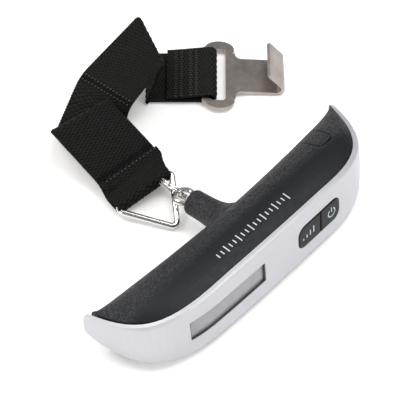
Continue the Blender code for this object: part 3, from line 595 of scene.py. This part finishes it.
def webbing(name, lines, travel, normals, mat, painted_shade_places):
    """A closed band of real woven relief along dense cross lines."""
    points = []
    knuckles = []
    for (left, right), u, normal in zip(lines, travel, normals):
        width = (right - left).length
        shade = max(exp(-((u - place) / PAINTED_SHADE_REACH) ** 2) for place in painted_shade_places)
        ripple = EDGE_WAVE * cos(2 * pi * u / KNUCKLE_LONG)
        for side in (1, -1):
            order = range(WEAVE_COLUMNS + 1) if side > 0 else range(WEAVE_COLUMNS, -1, -1)
            for k in order:
                share = k / WEAVE_COLUMNS
                v = (share - 0.5) * width
                edge = min(share, 1 - share) * width
                round_off = min(edge / EDGE_ROUND, 1.0)
                half = WEB_T / 2 * (EDGE_THIN + (1 - EDGE_THIN) * (1 - (1 - round_off) ** 2))
                knuckle = weave(u, v + (0 if side > 0 else KNUCKLE_WIDE))
                # Painted light: a highlight on each knuckle's top, and painted shade at the crease, the
                # foot and past the flap's cut end
                knuckles.append((0.5 + 0.5 * knuckle) * (1 - PAINTED_SHADE_SHARE * shade))
                lift = half + KNUCKLE_HIGH * knuckle * min(edge / EDGE_CALM, 1.0)
                wave = ripple * (1 - min(edge / EDGE_WAVE_REACH, 1.0))
                out = (right - left).normalized() * wave * (1 if share > 0.5 else -1)
                points.append(left.lerp(right, share) + normal * lift * side + out)
    item = mesh_object(name, points, band_faces(len(lines)), mat)
    tint = item.data.attributes.new("knuckle", "FLOAT", "POINT")
    tint.data.foreach_set("value", knuckles)
    return item


def band_faces(line_count):
    """Faces round a flat band, each of whose lines is one ring of points, and over its two cut ends."""
    ring = 2 * (WEAVE_COLUMNS + 1)
    faces = []
    for i in range(line_count - 1):
        for j in range(ring):
            k = (j + 1) % ring
            faces.append((i * ring + j, i * ring + k, (i + 1) * ring + k, (i + 1) * ring + j))
    last = (line_count - 1) * ring
    for j in range(WEAVE_COLUMNS):
        faces.append((j, j + 1, ring - 2 - j, ring - 1 - j))
        faces.append((last + j, last + ring - 1 - j, last + ring - 2 - j, last + j + 1))
    return faces


def ring_line(tail, normal, s, t, span):
    """A cross line beside the triangular ring's strap bar: s back along the tail, t off its plane."""
    along = (RING_C - RING_A).normalized()
    base = tail * s + normal * t
    return RING_A + along * span[0] + base, RING_A + along * span[1] + base


def ring_loop_lines():
    """Cross lines and reaches from the flap's cut end, round the triangular ring and back to the step."""
    along = (RING_C - RING_A).normalized()
    tail = (Vector(STEP[0]) + Vector(STEP[1])) / 2 - (RING_A + RING_C) / 2
    tail = (tail - along * tail.dot(along)).normalized()
    normal = along.cross(tail)

    def from_step(layers, forward):
        offset = normal * LAYER * layers + tail * forward
        return tuple(Vector(p) + offset for p in STEP)

    course = [
        (from_step(*FLAP_END), 0),
        (from_step(*FLAP_BEND), 1.0),
        (ring_line(tail, normal, LOOP_NECK, NECK_OVER, NECK_SPAN), 3.0),
    ]
    bar = TRIANGLE_WIRE + RING_GAP + WEB_T / 2
    for k in range(LOOP_LINES):
        turn = radians(lerp(*LOOP_TURN, k / (LOOP_LINES - 1)))
        line = ring_line(tail, normal, bar * cos(turn), bar * sin(turn), RING_BAR_SPAN)
        course.append((line, TURN_REACH))
    course.append((ring_line(tail, normal, LOOP_NECK, NECK_UNDER, NECK_SPAN), 2.0))
    course.append((from_step(*UNDER_STEP), 3.0))
    return course


def hook_line(along, height):
    """A cross line by the hook plate, forwards from the webbing's fold and up."""
    turn = radians(HOOK_ANGLE)
    line = []
    for across in (WEB_W / 2, -WEB_W / 2):
        line.append(Vector((HOOK_AT[0] + along * cos(turn) - across * sin(turn),
                            HOOK_AT[1] + along * sin(turn) + across * cos(turn), height)))
    return tuple(line)


def hook_loop_lines():
    """Cross lines and reaches from under the hook plate, round its bar and back to the cut end."""
    course = [(hook_line(*place), UNDER_REACH) for place in UNDER_PLATE]
    for k in range(1, PLATE_BAR_LINES):
        turn = radians(lerp(-90.0, 90.0, k / PLATE_BAR_LINES))
        line = hook_line(PLATE_BAR_AT[0] + PLATE_BAR_REACH[0] * cos(turn),
                         PLATE_BAR_AT[1] + PLATE_BAR_REACH[1] * sin(turn))
        course.append((line, TURN_REACH))
    course += [(hook_line(*place), OVER_REACH) for place in OVER_PLATE]
    return course


def make_strap():
    """The webbing in three pieces that meet at its hinging folds; returns what the stitching needs."""
    course = ring_loop_lines()
    folds = {"step": len(course) - 1}
    for key, line, reach in FOLDS:
        folds[key] = len(course)
        course.append((line, reach))
    course += hook_loop_lines()
    dense, spots = rounded(*zip(*course))
    travel, normals = web_frames(dense)
    folds = {key: spots[index] for key, index in folds.items()}
    # Where painted shade darkens the webbing: just past the flap's cut end, at the crease and at the foot
    painted_shade_places = (travel[folds["step"]] + STEP_SHADE, travel[folds["crease"]], travel[folds["foot"]])
    crest = folds["crest"]
    apex = folds["apex"]
    # The hook end's webbing is the same black as the rest, painted 1.5 times lighter: painted light.
    pieces = (
        ("webbing_ring_end", 0, crest, "strap_lower", 1.0, ("strap_ring_loop", "strap_lower_panel"),
         "triangle_ring"),
        ("webbing_middle", crest, apex, "strap_middle", 1.0, ("strap_middle_panel",), "webbing_ring_end"),
        ("webbing_hook_end", apex, len(dense) - 1, "strap_upper", 1.5,
         ("strap_upper_panel", "strap_hook_loop"), "hook_plate"),
    )
    for name, start, stop, body, painted_lightness, stands_for, rests in pieces:
        own = slice(start, stop + 1)
        mat = webbing_material("webbing_" + body, painted_lightness)
        piece = webbing(name, dense[own], travel[own], normals[own], mat, painted_shade_places)
        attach(piece, body)
        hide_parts(*stands_for)
    return dense, travel, normals, folds


# ---------------------------------------------------------------- stitching

def thread_mesh(stitches):
    """Short thread stitches, each from one point to another, as slim closed lozenges."""
    points = []
    faces = []
    for a, b, normal in stitches:
        run = (b - a).normalized()
        side = run.cross(normal).normalized()
        base = len(points)
        for share, radius in THREAD_FORM:
            for k in range(THREAD_SIDES):
                turn = 2 * pi * k / THREAD_SIDES
                points.append(a.lerp(b, share) + side * cos(turn) * radius
                              + normal * sin(turn) * radius * THREAD_FLAT)
        last = len(points) - THREAD_SIDES
        for ring in range(base, last, THREAD_SIDES):
            for k in range(THREAD_SIDES):
                n = (k + 1) % THREAD_SIDES
                faces.append((ring + k, ring + n, ring + THREAD_SIDES + n, ring + THREAD_SIDES + k))
        faces.append(tuple(range(base, base + THREAD_SIDES)))
        faces.append(tuple(range(len(points) - 1, last - 1, -1)))
    return points, faces


def make_stitching(dense, travel, normals, folds):
    thread = plain("thread", (0.020, 0.020, 0.0185), (0.034, 0.0335, 0.031), rough=0.5, grain=5200.0,
                   depth=0.03, Specular_IOR_Level=0.25)

    def at(index, share):
        left, right = dense[index]
        up = normals[index] if normals[index].z > 0 else -normals[index]
        return left.lerp(right, share) + up * (WEB_T / 2 + THREAD_LIFT)

    def row(start, stop, normal, count, lead, spaces, slant):
        """Stitches side by side across the webbing, each from one cross line to another."""
        shares = [(k + lead) / spaces for k in range(count)]
        return [(at(start, share), at(stop, share + slant), normal) for share in shares]

    def sew(name, stitches, body):
        piece = mesh_object(name, *thread_mesh(stitches), thread)
        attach(piece, body)

    crease = folds["crease"]
    stitches = []
    for offset in CREASE_OFFSETS:
        start = crease + offset
        stitches += row(start, start + CREASE_RUN, normals[crease], *CREASE_ROW)
    sew("crease_stitching", stitches, "strap_middle")

    sew("flap_stitching", row(FLAP_LINE, FLAP_LINE, normals[FLAP_LINE], *FLAP_ROW), "strap_lower")

    stitches = []
    for distance in BAR_TACKS:
        index = len(dense) - 1
        while travel[-1] - travel[index] < distance:
            index -= 1
        stitches += row(index, index - TACK_RUN, normals[index], *TACK_ROW)
    sew("zigzag_stitching", stitches, "strap_upper")


# ---------------------------------------------------------------- rim and print on the handle

def make_bezel():
    """Thin dark frame that lines the display opening."""
    to_world = handle_matrix()
    cover = surface_of("top_cover")
    back = to_world.to_3x3() @ Vector((0, 1, 0))

    def front(x):
        """The cover's front face above the opening."""
        start = Vector((x * MM, RAY_FRONT * MM, (WINDOW[3] + 0.5) * MM))
        hit = cover.ray_cast(to_world @ start, back)[0]
        return (to_world.inverted() @ hit).y / MM

    def outline(inset):
        x0, x1 = WINDOW[0] + inset, WINDOW[1] - inset
        z0, z1 = WINDOW[2] + inset, WINDOW[3] - inset
        row = [lerp(x0, x1, k / BEZEL_STEPS) for k in range(BEZEL_STEPS + 1)]
        return [(x, z0) for x in row] + [(x, z1) for x in reversed(row)]

    points = []
    for outer, inner in zip(outline(BEZEL_OUTER), outline(BEZEL_INNER)):
        for (x, z), depth in ((outer, BEZEL_OUTER_DEPTH), (inner, BEZEL_INNER_DEPTH),
                              (inner, BEZEL_BACK_DEPTH), (outer, BEZEL_BACK_DEPTH)):
            points.append((to_world @ (Vector((x, front(x) + depth, z)) * MM)) / MM)
    faces = []
    for start in range(0, len(points), 4):      # four points round the rim's section
        following = (start + 4) % len(points)
        for j in range(4):
            k = (j + 1) % 4
            faces.append((start + j, start + k, following + k, following + j))
    plastic = plain("bezel_plastic", (0.012, 0.012, 0.013), (0.02, 0.02, 0.021), rough=0.4)
    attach(mesh_object("display_bezel", points, faces, plastic, smooth=False), "handle")


def stroke(points, width):
    """A ribbon along points given as (a, b): its left and right edge at each point."""
    rows = []
    last = len(points) - 1
    for i, (a, b) in enumerate(points):
        ahead = points[min(i + 1, last)]
        behind = points[max(i - 1, 0)]
        run = Vector((ahead[0] - behind[0], ahead[1] - behind[1])).normalized() * width / 2
        rows.append(((a - run.y, b + run.x), (a + run.y, b - run.x)))
    return rows


def printed(name, strokes, place, mat, body):
    """Thin raised ink: every stroke's edges are put on a surface by the place function, four points
    to a row."""
    points = []
    faces = []
    for rows in strokes:
        base = len(points)
        for left, right in rows:
            for height in (INK_TOP, INK_ROOT):
                points.append(place(*left, height))
                points.append(place(*right, height))
        last = len(points) - 4
        for o in range(base, last, 4):
            faces += [(o, o + 1, o + 5, o + 4), (o + 2, o + 6, o + 7, o + 3), (o, o + 4, o + 6, o + 2),
                      (o + 1, o + 3, o + 7, o + 5)]
        faces += [(base, base + 2, base + 3, base + 1), (last, last + 1, last + 3, last + 2)]
    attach(mesh_object(name, points, faces, mat, smooth=False), body)


def make_print():
    """A plain row of ticks on the grip, a power sign and rising bars on the keys."""
    ink = plain("white_ink", (0.40, 0.45, 0.48), (0.50, 0.55, 0.58), rough=0.5, grain=4000.0)
    to_world = handle_matrix()
    shell = surface_of("handle_shell")
    down = to_world.to_3x3() @ Vector((0, 0, -1))

    def on_shell(x, y, height):
        hit, normal, _, _ = shell.ray_cast(to_world @ Vector((x * MM, y * MM, RAY_TOP * MM)), down)
        return (hit + normal * height * MM) / MM

    def on_key(x, z, height):
        return (to_world @ (Vector((x, KEY_FACE - height, z)) * MM)) / MM

    ticks = []
    for k in range(TICK_COUNT):
        x = TICK_FIRST - TICK_PITCH * k
        half = TICK_HALF_SHORT if k % TICKS_PER_LONG else TICK_HALF_LONG
        ticks.append(stroke([(x, TICK_LEVEL - half), (x, TICK_LEVEL), (x, TICK_LEVEL + half)], TICK_WIDTH))
    printed("scale_marks", ticks, on_shell, ink, "handle")

    x, z = POWER_AT
    arc = []
    for k in range(POWER_STEPS + 1):
        turn = radians(lerp(*POWER_ARC, k / POWER_STEPS))
        arc.append((x + POWER_R * cos(turn), z + POWER_R * sin(turn)))
    stem = [(x, z + end) for end in POWER_STEM]
    sign = [stroke(arc, POWER_WIDTH), stroke(stem, POWER_WIDTH)]
    printed("power_symbol", sign, on_key, ink, "power_tare_key")

    bars = []
    for k in range(STAIR_COUNT):
        x = STAIR_FIRST + STAIR_PITCH * k
        bars.append(stroke([(x, STAIR_FOOT), (x, STAIR_FOOT + STAIR_RISE * (k + 1))], STAIR_WIDTH))
    printed("unit_symbol", bars, on_key, ink, "unit_key")


# ---------------------------------------------------------------- room

def make_camera():
    data = bpy.data.cameras.new("camera")
    camera = bpy.data.objects.new("camera", data)
    bpy.context.collection.objects.link(camera)
    azimuth = radians(AZIMUTH)
    elevation = radians(ELEVATION)
    back = Vector((sin(azimuth) * cos(elevation), -cos(azimuth) * cos(elevation), sin(elevation)))
    camera.location = (Vector(LOOK_AT) + back * DISTANCE) * MM
    camera.rotation_euler = back.to_track_quat("Z", "Y").to_euler()
    data.angle = 2 * atan(VIEW_WIDTH / 2 / DISTANCE)
    data.clip_start = 0.01
    bpy.context.scene.camera = camera


def make_floor():
    # The floor glows faintly and warm: painted light that keeps the shadows on it pale and lights the
    # parts' undersides a little.
    s = Shader("pale_floor", (0.93, 0.93, 0.93), rough=0.9, Specular_IOR_Level=0.1, Emission_Strength=0.16,
               Emission_Color=(1.0, 0.975, 0.95, 1.0))
    s.paint("Base Color", s.ramp(s.noise(6.0), (0.925, 0.922, 0.918), (0.94, 0.94, 0.94)))
    corners = [(x * FLOOR_HALF, y * FLOOR_HALF, FLOOR_LEVEL)
               for x, y in ((-1, -1), (1, -1), (1, 1), (-1, 1))]
    floor = mesh_object("floor", corners, [(0, 1, 2, 3)], s.mat, smooth=False)


def make_sky():
    """What the bright parts reflect: brightest up to the horizon, dark above it, light on top."""
    world = bpy.data.worlds.new("studio")
    world.use_nodes = True
    bpy.context.scene.world = world
    nodes = world.node_tree.nodes
    links = world.node_tree.links
    place = nodes.new("ShaderNodeTexCoord")
    split = nodes.new("ShaderNodeSeparateXYZ")
    ramp = nodes.new("ShaderNodeValToRGB")
    stops = ramp.color_ramp.elements
    stops[0].position = 0.0
    stops[0].color = (*SKY_LOW, 1)
    stops[1].position = SKY_HIGH_AT
    stops[1].color = (*SKY_HIGH, 1)
    for position, level in SKY_BANDS:
        stops.new(position).color = (level, level, level * SKY_TINT, 1)
    links.new(place.outputs["Generated"], split.inputs["Vector"])
    links.new(split.outputs["Z"], ramp.inputs["Fac"])
    links.new(ramp.outputs["Color"], nodes["Background"].inputs["Color"])
    nodes["Background"].inputs["Strength"].default_value = SKY_STRENGTH


def make_lamp(name, place, size, watts, color):
    """A large soft light that faces the object."""
    data = bpy.data.lights.new(name, "AREA")
    data.size = size * MM
    data.energy = watts
    data.color = color
    item = bpy.data.objects.new(name, data)
    item.location = Vector(place) * MM
    item.rotation_euler = (Vector(place) - Vector(LOOK_AT)).to_track_quat("Z", "Y").to_euler()
    bpy.context.collection.objects.link(item)


def main():
    bpy.context.scene.view_settings.view_transform = "Standard"
    make_camera()
    make_floor()
    make_sky()
    for lamp in LAMPS:
        make_lamp(*lamp)
    dress_handle()
    dress_inside()
    dress_hook()
    make_rings()
    make_stitching(*make_strap())
    make_bezel()
    make_print()


main()
